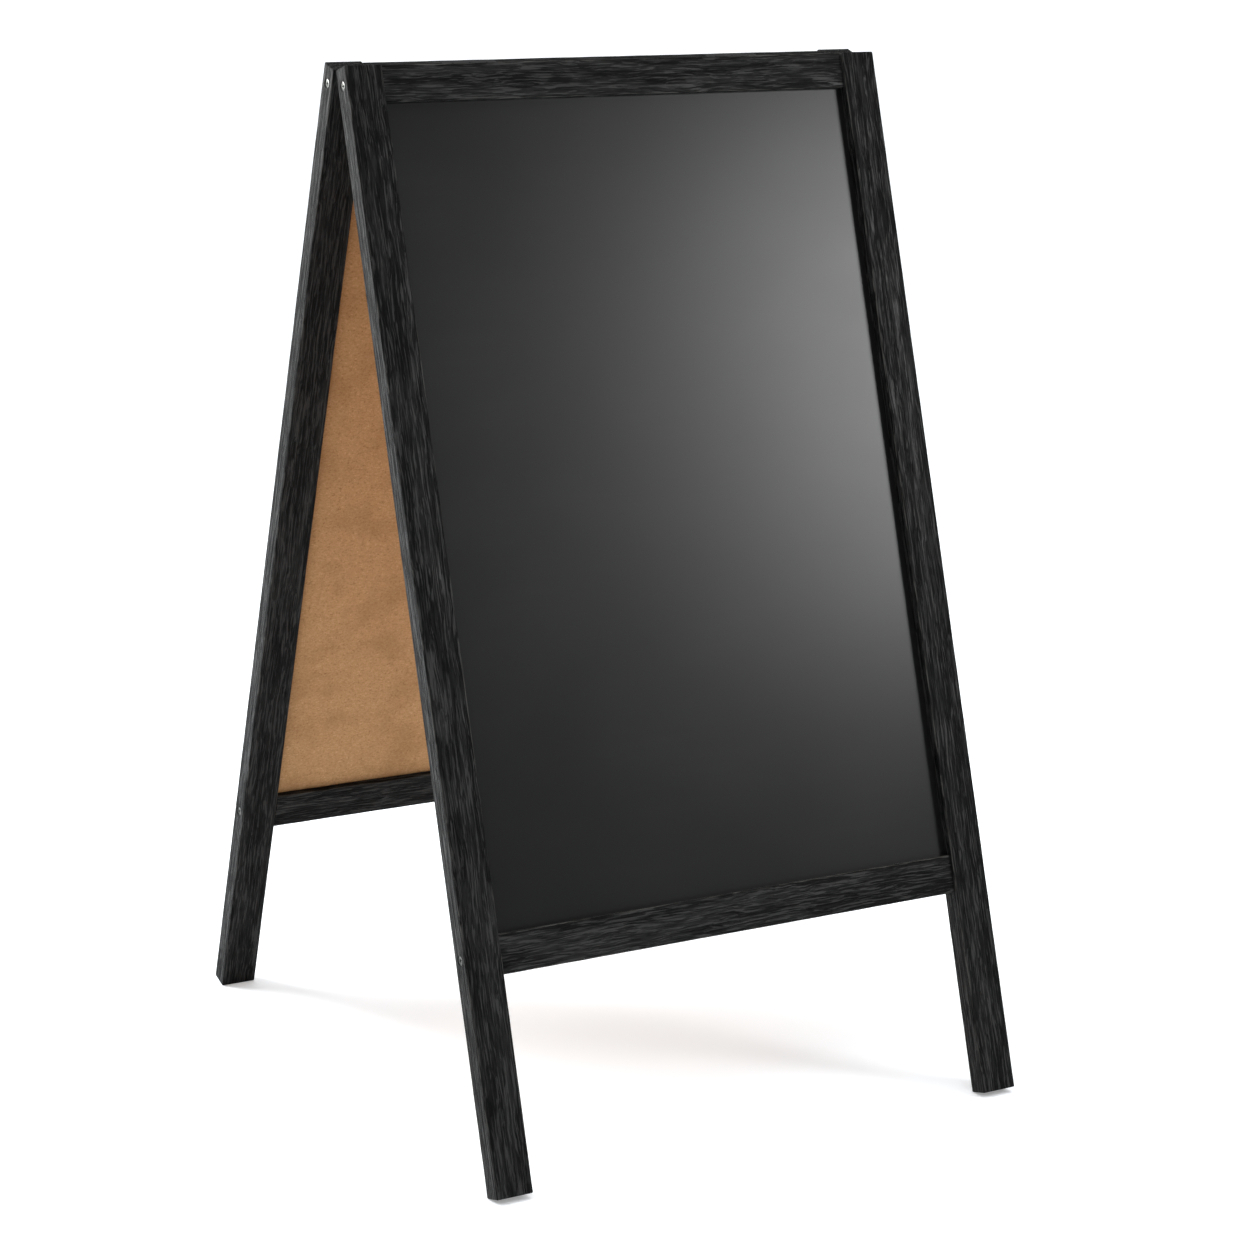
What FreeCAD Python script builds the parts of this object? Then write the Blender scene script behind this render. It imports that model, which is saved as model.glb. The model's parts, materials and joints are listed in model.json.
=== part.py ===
import FreeCAD, Part
import os

import Sketcher

# A folding menu board: two framed chalkboards that lean together and are hinged along the top.
#
# Row frame: X runs along the width, the front board faces -Y, Z is up. The origin is on the ground,
# midway between the four feet, with the boards opened out and standing.
#
# Board frame: every piece is placed in the frame of its own board, whose origin is on the hinge pins'
# axis. X is the same, +Y points from the board towards its partner, so the writing side faces -Y, and
# Z runs up along the legs. A board is swung out about the pins by the lean angle, and the rear
# board is the front one turned half round about Z.

DRIVING_SIZES = {
    "board_width": (508, "overall width of a board"),
    "leg_length": (914, "length of a stile, top to foot"),
    "lean_angle": (17.25, "lean of each board from upright, degrees"),
    "stile_width": (33, "face width of a stile"),
    "stile_depth": (18.5, "thickness of a stile, front to back"),
    "rail_depth": (15.5, "thickness of a rail, flush with the stiles at the back"),
    "top_rail_height": (30.5, "face height of the top rail"),
    "bottom_rail_height": (33, "face height of the bottom rail"),
    "bottom_rail_drop": (705.5, "from the top of the stiles to the bottom rail's upper edge"),
    "edge_round": (1.2, "radius of the eased long edges of stiles and rails"),
    "panel_thickness": (3, "thickness of the hardboard panel"),
    "panel_setback": (6.5, "from the back of the frame to the back of the panel"),
    "groove_depth": (8, "depth of the panel groove"),
    "groove_slack": (0.1, "groove width beyond the panel's thickness"),
    "panel_gap": (1, "room between the panel's edge and the groove's floor"),
    "tongue_shoulder": (5, "wood left outside the tongue at a rail's outer edge"),
    "frame_screw_length": (50, "length of the screws that join stiles to rails"),
    "frame_screw_head": (8, "head diameter"),
    "frame_screw_shank": (4, "shank diameter, as far as the tongue"),
    "frame_screw_core": (3.2, "diameter in the tongue and rail"),
    "frame_screw_sink": (0.6, "how far the head sits below the stile's edge"),
    "shank_room": (0.15, "radial room around a screw's shank"),
    "hinge_offset": (127, "from the middle of the board to the middle of each hinge"),
    "hinge_length": (50, "length of a hinge leaf"),
    "leaf_width": (15, "from the pin's axis to a leaf's far edge"),
    "leaf_thickness": (1, "sheet thickness of a leaf"),
    "leaf_setback": (0.5, "from the pin's axis to where a leaf's flat plate starts"),
    "pin_diameter": (2.2, "hinge pin"),
    "pin_clearance": (0.05, "radial room of the rear knuckles on the pin"),
    "pin_end": (0.7, "how far the pin's tapered ends stand out of the barrel"),
    "knuckle_play": (0.3, "gap between neighbouring knuckles"),
    "fold_gap": (3, "gap between the two boards when folded flat"),
    "ear_width": (5.5, "width of a stop ear"),
    "ear_gap": (0.6, "gap between a stop ear and the pin's end"),
    "ear_reach": (5.5, "how far a stop ear reaches over the rear leaf"),
    "stop_gap": (0.3, "room left between a stop ear and the leaf it lands on"),
    "hinge_screw_length": (12, "length of the hinge screws"),
    "hinge_screw_shank": (2.8, "shank diameter inside the leaf"),
    "hinge_screw_core": (2.2, "diameter in the rail"),
    "hinge_screw_pitch": (16, "spacing of the screws along a leaf"),
    "hinge_screw_line": (9.5, "from the pin's axis to the line of screws"),
}

# Sizes that follow from the driving ones, written as expressions on the sheet.
HALF_WIDTH = "(dim.board_width / 2)"
RAIL_LENGTH = "(dim.board_width - 2 * dim.stile_width)"
BARREL_RADIUS = "(dim.pin_diameter / 2 + dim.leaf_thickness)"
PIN_RADIUS = "(dim.pin_diameter / 2)"
# The leaves are let in flush, so the pins' axis is one pin radius above the boards' top edges.
TOP_DROP = PIN_RADIUS
BACK_OFFSET = "(dim.fold_gap / 2)"
PIN_HEIGHT = (f"((dim.leg_length + {TOP_DROP}) * cos(dim.lean_angle)"
              f" - {BACK_OFFSET} * sin(dim.lean_angle))")
GROOVE_WIDTH = "(dim.panel_thickness + dim.groove_slack)"
GROOVE_BACK = "(dim.panel_setback - dim.groove_slack / 2)"
TONGUE_LENGTH = "(dim.groove_depth - dim.panel_gap)"
TOP_SCREW_DROP = "(dim.top_rail_height / 2)"
BOTTOM_SCREW_DROP = "(dim.bottom_rail_drop + dim.bottom_rail_height / 2)"
SCREW_SETBACK = "(dim.stile_depth / 2)"
# A leaf is countersunk through part of its thickness, which sets its screws' heads.
SINK_SHARE = 0.8
HINGE_SCREW_HEAD = f"(dim.hinge_screw_shank + 2 * {SINK_SHARE} * dim.leaf_thickness)"
BARREL_LENGTH = "(dim.hinge_length - 2 * (dim.ear_width + dim.ear_gap + dim.pin_end))"

KNUCKLES = 5
SCREWS_PER_LEAF = 3
# The cross recess in a screw's head, as shares of the head's diameter and of its cone's depth.
RECESS_ARM = 0.28
RECESS_WEB = 0.07
RECESS_DEPTH = 0.6
SIDES = {"left": -1, "right": 1}

doc = FreeCAD.newDocument("menu_chalkboard_easel")
dim = doc.addObject("Spreadsheet::Sheet", "dim")


def fill_sheet():
    """Write each driving size into the sheet, with its alias and its meaning."""
    for row, (alias, (size, meaning)) in enumerate(DRIVING_SIZES.items(), start=1):
        dim.set(f"A{row}", alias)
        dim.set(f"B{row}", str(size))
        dim.setAlias(f"B{row}", alias)
        dim.set(f"C{row}", meaning)
    doc.recompute()


def value(expression):
    """The present value of an expression on the sheet."""
    return float(dim.evalExpression(expression))


# ---------------------------------------------------------------- placing

def board_placement(board):
    """Expression for a board's frame in the row frame."""
    half_turn = "rotation(vector(0; 0; 1); 180) * " if board == "rear" else ""
    lean = "rotation(vector(1; 0; 0); -dim.lean_angle)"
    return f"placement(vector(0; 0; {PIN_HEIGHT}); {half_turn}{lean})"


def place(piece, board, x="0", y="0", z="0", turn=None):
    """Bind a piece's Placement to a point of its board's frame, with an optional turn."""
    axis, angle = turn or ("0; 0; 1", "0")
    local = f"placement(vector({x}; {y}; {z}); rotation(vector({axis}); {angle}))"
    piece.setExpression("Placement", f"{board_placement(board)} * {local}")


def board_side(board, side):
    """-1 or 1: where the side named left or right lies in the board's own frame."""
    return SIDES[side] if board == "front" else -SIDES[side]


# ---------------------------------------------------------------- sketches and features

def new_sketch(body, role, name, lift="0"):
    """A sketch on one of the body's own origin planes, lifted along the plane's normal."""
    sketch = body.newObject("Sketcher::SketchObject", name)
    plane = next(item for item in body.Origin.OriginFeatures if item.Role == role)
    sketch.AttachmentSupport = [(plane, "")]
    sketch.MapMode = "FlatFace"
    sketch.setExpression("AttachmentOffset.Base.z", lift)
    return sketch


def pin_point(sketch, geometry, point, x, y):
    """Hold one point of a sketch at expressions for its x and y."""
    for kind, expression in (("DistanceX", x), ("DistanceY", y)):
        constraint = Sketcher.Constraint(kind, -1, 1, geometry, point, value(expression))
        index = sketch.addConstraint(constraint)
        sketch.setExpression(f"Constraints[{index}]", expression)


def outline(sketch, corners):
    """Add a closed polygon whose corners are held at pairs of expressions."""
    points = [FreeCAD.Vector(value(x), value(y), 0) for x, y in corners]
    first = sketch.GeometryCount
    count = len(points)
    for index, point in enumerate(points):
        sketch.addGeometry(Part.LineSegment(point, points[(index + 1) % count]), False)
    for index in range(count):
        following = first + (index + 1) % count
        sketch.addConstraint(Sketcher.Constraint("Coincident", first + index, 2, following, 1))
    for index, (x, y) in enumerate(corners):
        pin_point(sketch, first + index, 1, x, y)


def rectangle(sketch, x_low, x_high, y_low, y_high):
    """Add a rectangle between two x and two y expressions."""
    outline(sketch, [(x_low, y_low), (x_high, y_low), (x_high, y_high), (x_low, y_high)])


def circle(sketch, x, y, radius):
    """Add a circle held at an x and y with a radius, all three expressions."""
    centre = FreeCAD.Vector(value(x), value(y), 0)
    normal = FreeCAD.Vector(0, 0, 1)
    index = sketch.addGeometry(Part.Circle(centre, normal, value(radius)), False)
    pin_point(sketch, index, 3, x, y)
    constraint = sketch.addConstraint(Sketcher.Constraint("Radius", index, value(radius)))
    sketch.setExpression(f"Constraints[{constraint}]", radius)


def extrude(body, kind, sketch, name, length, reverse=False, symmetric=False):
    """A PartDesign Pad or Pocket of a sketch; a pocket must take material away."""
    before = body.Shape.Volume if body.Tip else 0
    feature = body.newObject(f"PartDesign::{kind}", name)
    feature.Profile = sketch
    feature.setExpression("Length", length)
    feature.Reversed = reverse
    if symmetric:
        feature.SideType = "Symmetric"
    doc.recompute()
    gained = body.Shape.Volume - before
    if (gained <= 0) == (kind == "Pad"):
        raise ValueError(f"{name} changes nothing")
    return feature


def revolve(body, kind, sketch, name, axis):
    """A PartDesign Revolution or Groove of a sketch, a full turn about a sketch axis."""
    before = body.Shape.Volume if body.Tip else 0
    feature = body.newObject(f"PartDesign::{kind}", name)
    feature.Profile = sketch
    feature.ReferenceAxis = (sketch, [axis])
    feature.Angle = 360
    doc.recompute()
    gained = body.Shape.Volume - before
    if (gained <= 0) == (kind == "Revolution"):
        raise ValueError(f"{name} changes nothing")
    return feature


def round_long_edges(body, feature, name, direction):
    """Ease the feature's outermost edges that run along a direction, given as a unit vector."""
    box = feature.Shape.BoundBox
    half = (FreeCAD.Vector(box.XLength, box.YLength, box.ZLength) / 2)
    edges = []
    for index, edge in enumerate(feature.Shape.Edges, start=1):
        offset = edge.CenterOfMass - box.Center
        corner = [abs(abs(offset[axis]) - half[axis]) < 1e-6 for axis in range(3) if not direction[axis]]
        lengthways = abs(edge.tangentAt(edge.FirstParameter).dot(direction)) > 0.999
        if lengthways and all(corner):
            edges.append(f"Edge{index}")
    fillet = body.newObject("PartDesign::Fillet", name)
    fillet.Base = (feature, edges)
    fillet.setExpression("Radius", "dim.edge_round")
    doc.recompute()
    return fillet


def new_body(name):
    """A PartDesign body whose name and label are the node's."""
    body = doc.addObject("PartDesign::Body", name)
    body.Label = name
    return body


# ---------------------------------------------------------------- wooden frame

def screw_seat(body, name, hand, drop):
    """Bore a stile from its outer edge: a sunk mouth, a cone for the head and a shank hole."""
    sketch = new_sketch(body, "XZ_Plane", f"{name}_profile", SCREW_SETBACK)
    head = "(dim.frame_screw_head / 2)"
    bore = "(dim.frame_screw_shank / 2 + dim.shank_room)"
    cone_end = f"(dim.frame_screw_sink + {head} - {bore})"
    profile = [("0", "0"), ("dim.stile_width", "0"), ("dim.stile_width", bore),
               (cone_end, bore), ("dim.frame_screw_sink", head), ("0", head)]
    outline(sketch, [(f"({hand} * {x})", f"({y} - {drop})") for x, y in profile])
    axis = sketch.addGeometry(Part.LineSegment(FreeCAD.Vector(0, value(f"-{drop}"), 0),
                                               FreeCAD.Vector(hand, value(f"-{drop}"), 0)), True)
    pin_point(sketch, axis, 1, "0", f"(-{drop})")
    pin_point(sketch, axis, 2, f"({hand} * dim.stile_width)", f"(-{drop})")
    revolve(body, "Groove", sketch, name, "Axis0")


def stile(board, side):
    """An upright: a bar with eased edges, a stopped panel groove and two screw seats.

    Its own origin is the outer back corner of its top end, and it hangs down from there.
    """
    name = f"{board}_{side}_stile"
    outward = board_side(board, side)
    hand = -outward
    body = new_body(name)
    section = new_sketch(body, "XY_Plane", f"{name}_section")
    rectangle(section, "0", f"({hand} * dim.stile_width)", "-dim.stile_depth", "0")
    bar = extrude(body, "Pad", section, f"{name}_bar", "dim.leg_length", reverse=True)
    round_long_edges(body, bar, f"{name}_eased", FreeCAD.Vector(0, 0, 1))
    groove = new_sketch(body, "XY_Plane", f"{name}_groove_section", "-dim.tongue_shoulder")
    rectangle(groove, f"({hand} * (dim.stile_width - dim.groove_depth))",
              f"({hand} * dim.stile_width)", f"-({GROOVE_BACK} + {GROOVE_WIDTH})", f"-{GROOVE_BACK}")
    groove_length = "(dim.bottom_rail_drop + dim.bottom_rail_height - 2 * dim.tongue_shoulder)"
    extrude(body, "Pocket", groove, f"{name}_groove", groove_length)
    screw_seat(body, f"{name}_top_seat", hand, TOP_SCREW_DROP)
    screw_seat(body, f"{name}_bottom_seat", hand, BOTTOM_SCREW_DROP)
    place(body, board, f"({outward} * {HALF_WIDTH})", f"(-{BACK_OFFSET})", f"(-{TOP_DROP})")
    return body


def rail_section(body, name, height, panel_edge):
    """Pad the moulded section of a rail along its length, with the panel groove in one edge."""
    section = new_sketch(body, "YZ_Plane", f"{name}_section")
    back = f"(-{GROOVE_BACK})"
    front = f"(-{GROOVE_BACK} - {GROOVE_WIDTH})"
    if panel_edge == "lower":
        edge, floor, far = f"(-{height})", f"(dim.groove_depth - {height})", "0"
    else:
        edge, floor, far = "0", "(-dim.groove_depth)", f"(-{height})"
    outline(section, [("0", edge), (back, edge), (back, floor), (front, floor), (front, edge),
                      ("-dim.rail_depth", edge), ("-dim.rail_depth", far), ("0", far)])
    bar = extrude(body, "Pad", section, f"{name}_bar", RAIL_LENGTH, symmetric=True)
    round_long_edges(body, bar, f"{name}_eased", FreeCAD.Vector(1, 0, 0))


def rail_tongues(body, name, low, high):
    """Pad a stub tongue on each end, between two heights, as thick as the panel."""
    sketch = new_sketch(body, "XZ_Plane", f"{name}_tongue_face", "dim.panel_setback")
    for end in (-1, 1):
        rectangle(sketch, f"({end} * {RAIL_LENGTH} / 2)",
                  f"({end} * ({RAIL_LENGTH} / 2 + {TONGUE_LENGTH}))", low, high)
    extrude(body, "Pad", sketch, f"{name}_tongues", "dim.panel_thickness")


def rail_pilots(body, name, height):
    """Bore the frame screws' pilot holes into both ends, through the tongues."""
    depth = "(dim.frame_screw_sink + dim.frame_screw_length - dim.stile_width)"
    for end, word in ((-1, "near"), (1, "far")):
        end_plane = f"({end} * ({RAIL_LENGTH} / 2 + {TONGUE_LENGTH}))"
        sketch = new_sketch(body, "YZ_Plane", f"{name}_{word}_pilot_face", end_plane)
        circle(sketch, f"(-{SCREW_SETBACK})", f"(-{height} / 2)", "(dim.frame_screw_core / 2)")
        extrude(body, "Pocket", sketch, f"{name}_{word}_pilot", f"({depth} + {TONGUE_LENGTH})",
                reverse=end < 0)


def leaf_screw_points(board):
    """X (expression) of each hinge screw along a top rail, both hinges."""
    for side in SIDES:
        for index in range(SCREWS_PER_LEAF):
            step = index - (SCREWS_PER_LEAF - 1) / 2
            yield f"({board_side(board, side)} * dim.hinge_offset + {step} * dim.hinge_screw_pitch)"


def hinge_gains(body, board, name):
    """Let the hinges into the rail's top edge: a shallow gain each, and the screws' pilots."""
    gains = new_sketch(body, "XY_Plane", f"{name}_gain_outline")
    for side in SIDES:
        middle = f"{board_side(board, side)} * dim.hinge_offset"
        rectangle(gains, f"({middle} - dim.hinge_length / 2)", f"({middle} + dim.hinge_length / 2)",
                  f"({BACK_OFFSET} - dim.leaf_width)", "0")
    extrude(body, "Pocket", gains, f"{name}_gains", "dim.leaf_thickness")
    pilots = new_sketch(body, "XY_Plane", f"{name}_pilot_points")
    for x in leaf_screw_points(board):
        circle(pilots, x, f"({BACK_OFFSET} - dim.hinge_screw_line)", "(dim.hinge_screw_core / 2)")
    extrude(body, "Pocket", pilots, f"{name}_hinge_pilots", "dim.hinge_screw_length")


def top_rail(board):
    """The top rail: panel groove below, hinge gains above; its origin is its top back edge."""
    name = f"{board}_top_rail"
    body = new_body(name)
    rail_section(body, name, "dim.top_rail_height", "lower")
    rail_tongues(body, name, "(dim.groove_depth - dim.top_rail_height)", "(-dim.tongue_shoulder)")
    rail_pilots(body, name, "dim.top_rail_height")
    hinge_gains(body, board, name)
    place(body, board, "0", f"(-{BACK_OFFSET})", f"(-{TOP_DROP})")
    return body


def bottom_rail(board):
    """The bottom rail: panel groove above; its origin is its upper back edge."""
    name = f"{board}_bottom_rail"
    body = new_body(name)
    rail_section(body, name, "dim.bottom_rail_height", "upper")
    rail_tongues(body, name, "(dim.tongue_shoulder - dim.bottom_rail_height)",
                 "(-dim.groove_depth)")
    rail_pilots(body, name, "dim.bottom_rail_height")
    place(body, board, "0", f"(-{BACK_OFFSET})", f"(-{TOP_DROP} - dim.bottom_rail_drop)")
    return body


def chalkboard(board):
    """The hardboard panel, whose edges sit in the grooves; its origin is its top back middle."""
    name = f"{board}_chalkboard"
    body = new_body(name)
    face = new_sketch(body, "XZ_Plane", f"{name}_outline")
    half_width = f"({RAIL_LENGTH} / 2 + {TONGUE_LENGTH})"
    height = f"(dim.bottom_rail_drop - dim.top_rail_height + 2 * {TONGUE_LENGTH})"
    rectangle(face, f"(-{half_width})", half_width, f"(-{height})", "0")
    extrude(body, "Pad", face, f"{name}_sheet", "dim.panel_thickness")
    place(body, board, "0", f"(-{BACK_OFFSET} - dim.panel_setback)",
          f"(-{TOP_DROP} - dim.top_rail_height + {TONGUE_LENGTH})")
    return body


# ---------------------------------------------------------------- screws

def wood_screw(name, head, shank, core, core_start, length):
    """A countersunk wood screw with its head's face at the origin and its point down -Z."""
    body = new_body(name)
    profile = new_sketch(body, "XZ_Plane", f"{name}_profile")
    cone = f"(({head} - {shank}) / 2)"
    outline(profile, [("0", "0"), (f"({head} / 2)", "0"), (f"({shank} / 2)", f"(-{cone})"),
                      (f"({shank} / 2)", f"(-{core_start})"), (f"({core} / 2)", f"(-{core_start})"),
                      (f"({core} / 2)", f"({core} - {length})"), ("0", f"(-{length})")])
    revolve(body, "Revolution", profile, f"{name}_turned", "V_Axis")
    recess = new_sketch(body, "XY_Plane", f"{name}_recess_outline")
    arm = f"({head} * {RECESS_ARM})"
    web = f"({head} * {RECESS_WEB})"
    outline(recess, [(arm, f"(-{web})"), (arm, web), (web, web), (web, arm), (f"(-{web})", arm),
                     (f"(-{web})", web), (f"(-{arm})", web), (f"(-{arm})", f"(-{web})"),
                     (f"(-{web})", f"(-{web})"), (f"(-{web})", f"(-{arm})"),
                     (web, f"(-{arm})"), (web, f"(-{web})")])
    extrude(body, "Pocket", recess, f"{name}_recess", f"({cone} * {RECESS_DEPTH})")
    return body


def gather(name, pieces):
    """One node of several separate solids, each already in its place."""
    group = doc.addObject("Part::Compound", name)
    group.Label = name
    group.Links = pieces
    return group


def frame_screws(board):
    """The four screws that hold a board's stiles to its rails."""
    screws = []
    core_start = f"(dim.stile_width - {TONGUE_LENGTH} - dim.frame_screw_sink)"
    for side in SIDES:
        outward = board_side(board, side)
        for word, drop in (("top", TOP_SCREW_DROP), ("bottom", BOTTOM_SCREW_DROP)):
            screw = wood_screw(f"{board}_{side}_{word}_frame_screw", "dim.frame_screw_head",
                               "dim.frame_screw_shank", "dim.frame_screw_core", core_start,
                               "dim.frame_screw_length")
            place(screw, board, f"({outward} * ({HALF_WIDTH} - dim.frame_screw_sink))",
                  f"(-{BACK_OFFSET} - {SCREW_SETBACK})", f"(-{TOP_DROP} - {drop})",
                  ("0; 1; 0", f"({outward} * 90)"))
            screws.append(screw)
    return gather(f"{board}_frame_screws", screws)


def hinge_screws(board):
    """The screws that hold a board's two hinge leaves, flush with the leaves."""
    screws = []
    for index, x in enumerate(leaf_screw_points(board), start=1):
        screw = wood_screw(f"{board}_hinge_screw_{index}", HINGE_SCREW_HEAD,
                           "dim.hinge_screw_shank", "dim.hinge_screw_core",
                           "dim.leaf_thickness", "dim.hinge_screw_length")
        place(screw, board, x, "(-dim.hinge_screw_line)", f"(-{TOP_DROP})")
        screws.append(screw)
    return gather(f"{board}_hinge_screws", screws)


# ---------------------------------------------------------------- hinges

def knuckle_spans(board):
    """Start and end (expressions on the barrel's length) of the knuckles a board's leaf holds."""
    pitch = f"({BARREL_LENGTH} / {KNUCKLES})"
    for index in range(KNUCKLES):
        if (index % 2 == 0) == (board == "front"):
            low = f"({index} * {pitch} - {BARREL_LENGTH} / 2 + dim.knuckle_play / 2)"
            yield low, f"({pitch} - dim.knuckle_play)"


def hinge_box(name, x, y, z, length, width, height):
    """A box from a low corner with sizes along X, Y and Z, all expressions."""
    box = doc.addObject("Part::Box", name)
    box.setExpression("Length", length)
    box.setExpression("Width", width)
    box.setExpression("Height", height)
    box.setExpression("Placement", f"placement(vector({x}; {y}; {z}); rotation(vector(0; 0; 1); 0))")
    return box


def hinge_cylinder(name, x, radius, length):
    """A cylinder on the pin's axis, from x along X."""
    cylinder = doc.addObject("Part::Cylinder", name)
    cylinder.setExpression("Radius", radius)
    cylinder.setExpression("Height", length)
    cylinder.setExpression("Placement", f"placement(vector({x}; 0; 0); rotation(vector(0; 1; 0); 90))")
    return cylinder


def stop_ears(name):
    """Two ears bent over the knuckles' ends, which land on the rear leaf when the board is open.

    An ear lies along the opened rear leaf, so it is turned from this leaf by twice the lean.
    """
    ears = []
    start = "(2 * dim.leaf_thickness)"
    for end in (-1, 1):
        ear = doc.addObject("Part::Box", f"{name}_ear_{'near' if end < 0 else 'far'}")
        ear.setExpression("Length", "dim.ear_width")
        ear.setExpression("Width", f"(dim.ear_reach + {start})")
        ear.setExpression("Height", "dim.leaf_thickness")
        x = f"({end} * (dim.hinge_length - dim.ear_width) / 2 - dim.ear_width / 2)"
        ear.setExpression("Placement",
                          "placement(vector(0; 0; 0); rotation(vector(1; 0; 0); 2 * dim.lean_angle))"
                          f" * placement(vector({x}; -{start}; dim.stop_gap - {PIN_RADIUS});"
                          " rotation(vector(0; 0; 1); 0))")
        ears.append(ear)
    return ears


def leaf_countersinks(name):
    """Cutters for the leaf's screw holes: a cone to the head's size, and a shank hole."""
    cutters = []
    head = f"({HINGE_SCREW_HEAD} / 2)"
    shank = "(dim.hinge_screw_shank / 2)"
    for index in range(SCREWS_PER_LEAF):
        step = index - (SCREWS_PER_LEAF - 1) / 2
        x = f"({step} * dim.hinge_screw_pitch)"
        cone = doc.addObject("Part::Cone", f"{name}_sink_{index + 1}")
        cone.setExpression("Radius1", shank)
        cone.setExpression("Radius2", head)
        cone.setExpression("Height", f"({head} - {shank})")
        cone.setExpression("Placement",
                           f"placement(vector({x}; -dim.hinge_screw_line;"
                           f" -{PIN_RADIUS} - ({head} - {shank})); rotation(vector(0; 0; 1); 0))")
        hole = doc.addObject("Part::Cylinder", f"{name}_hole_{index + 1}")
        hole.setExpression("Radius", shank)
        hole.setExpression("Height", "(3 * dim.leaf_thickness)")
        hole.setExpression("Placement",
                           f"placement(vector({x}; -dim.hinge_screw_line;"
                           f" -{PIN_RADIUS} - 3 * dim.leaf_thickness); rotation(vector(0; 0; 1); 0))")
        cutters.extend([cone, hole])
    return cutters


def hinge_leaf(board, side):
    """A leaf: a flat plate, rolled knuckles on the pin and, on the front board, two stop ears."""
    name = f"{board}_{side}_hinge_leaf"
    other = "rear" if board == "front" else "front"
    pieces = [hinge_box(f"{name}_plate", "(-dim.hinge_length / 2)", "(-dim.leaf_width)",
                        f"(-{BARREL_RADIUS})", "dim.hinge_length",
                        "(dim.leaf_width - dim.leaf_setback)", "dim.leaf_thickness")]
    for index, (low, length) in enumerate(knuckle_spans(board), start=1):
        pieces.append(hinge_cylinder(f"{name}_knuckle_{index}", low, BARREL_RADIUS, length))
        pieces.append(hinge_box(f"{name}_root_{index}", low, f"(-{BARREL_RADIUS})",
                                f"(-{BARREL_RADIUS})", length, BARREL_RADIUS, "dim.leaf_thickness"))
    if board == "front":
        pieces.extend(stop_ears(name))
    blank = doc.addObject("Part::MultiFuse", f"{name}_blank")
    blank.Shapes = pieces
    bore = PIN_RADIUS if board == "front" else f"({PIN_RADIUS} + dim.pin_clearance)"
    cutters = [hinge_cylinder(f"{name}_bore", f"(-{BARREL_LENGTH} / 2)", bore, BARREL_LENGTH)]
    notch = f"({BARREL_RADIUS} + dim.knuckle_play)"
    for index, (low, length) in enumerate(knuckle_spans(other), start=1):
        cutters.append(hinge_box(f"{name}_notch_{index}", f"({low} - dim.knuckle_play)",
                                 f"(-{notch})", f"(-{notch})",
                                 f"({length} + 2 * dim.knuckle_play)", f"(2 * {notch})",
                                 f"(2 * {notch})"))
    cutters.extend(leaf_countersinks(name))
    tool = doc.addObject("Part::MultiFuse", f"{name}_cutters")
    tool.Shapes = cutters
    leaf = doc.addObject("Part::Cut", name)
    leaf.Label = name
    leaf.Base = blank
    leaf.Tool = tool
    place(leaf, board, f"({board_side(board, side)} * dim.hinge_offset)")
    return leaf


def hinge_pin(side):
    """A steel pin whose tapered ends stand out of the barrel; it stays in the front leaf."""
    name = f"{side}_hinge_pin"
    body = new_body(name)
    profile = new_sketch(body, "XY_Plane", f"{name}_profile")
    half = f"({BARREL_LENGTH} / 2)"
    tip = f"({half} + dim.pin_end)"
    outline(profile, [(f"(-{tip})", "0"), (f"(-{tip})", f"({PIN_RADIUS} / 2)"),
                      (f"(-{half})", PIN_RADIUS), (half, PIN_RADIUS),
                      (tip, f"({PIN_RADIUS} / 2)"), (tip, "0")])
    revolve(body, "Revolution", profile, f"{name}_turned", "H_Axis")
    place(body, "front", f"({SIDES[side]} * dim.hinge_offset)")
    return body


# ---------------------------------------------------------------- whole object

def board_pieces(board):
    """Every piece of one board."""
    pieces = [stile(board, side) for side in SIDES]
    pieces += [top_rail(board), bottom_rail(board), chalkboard(board), frame_screws(board)]
    pieces += [hinge_leaf(board, side) for side in SIDES]
    pieces.append(hinge_screws(board))
    return pieces


def check_and_write(pieces):
    """Stop on any failed object or bad shape, then write one STEP file for each piece."""
    doc.recompute()
    failed = [item.Name for item in doc.Objects if {"Invalid", "Error"} & set(item.State)]
    failed += [piece.Label for piece in pieces if piece.Shape.isNull() or not piece.Shape.isValid()]
    if failed:
        raise ValueError(f"failed objects: {failed}")
    os.makedirs("parts", exist_ok=True)
    for piece in pieces:
        piece.Shape.exportStep(f"parts/{piece.Label}.step")
        print(piece.Label, len(piece.Shape.Solids), "solids", round(piece.Shape.Volume), "mm3")


fill_sheet()
all_pieces = board_pieces("front") + board_pieces("rear") + [hinge_pin(side) for side in SIDES]
check_and_write(all_pieces)
print("pin height", round(value(PIN_HEIGHT), 4), "fold", round(value("2 * dim.lean_angle"), 3))
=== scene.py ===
"""A folding menu board: two framed chalkboards that lean together, hinged along the top.

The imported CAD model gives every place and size. Each wooden bar, panel and screw is modelled afresh in
the frame of its own board, where +Z runs up the legs and the writing side faces -Y, and then swung to
where that board stands. The hinge leaves and pins stay as the CAD made them and only get a finish.
"""
import json
import logging
import math
import random
from collections.abc import Callable, Iterable
from dataclasses import dataclass
from enum import Enum

import bpy
from mathutils import Matrix, Vector


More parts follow.
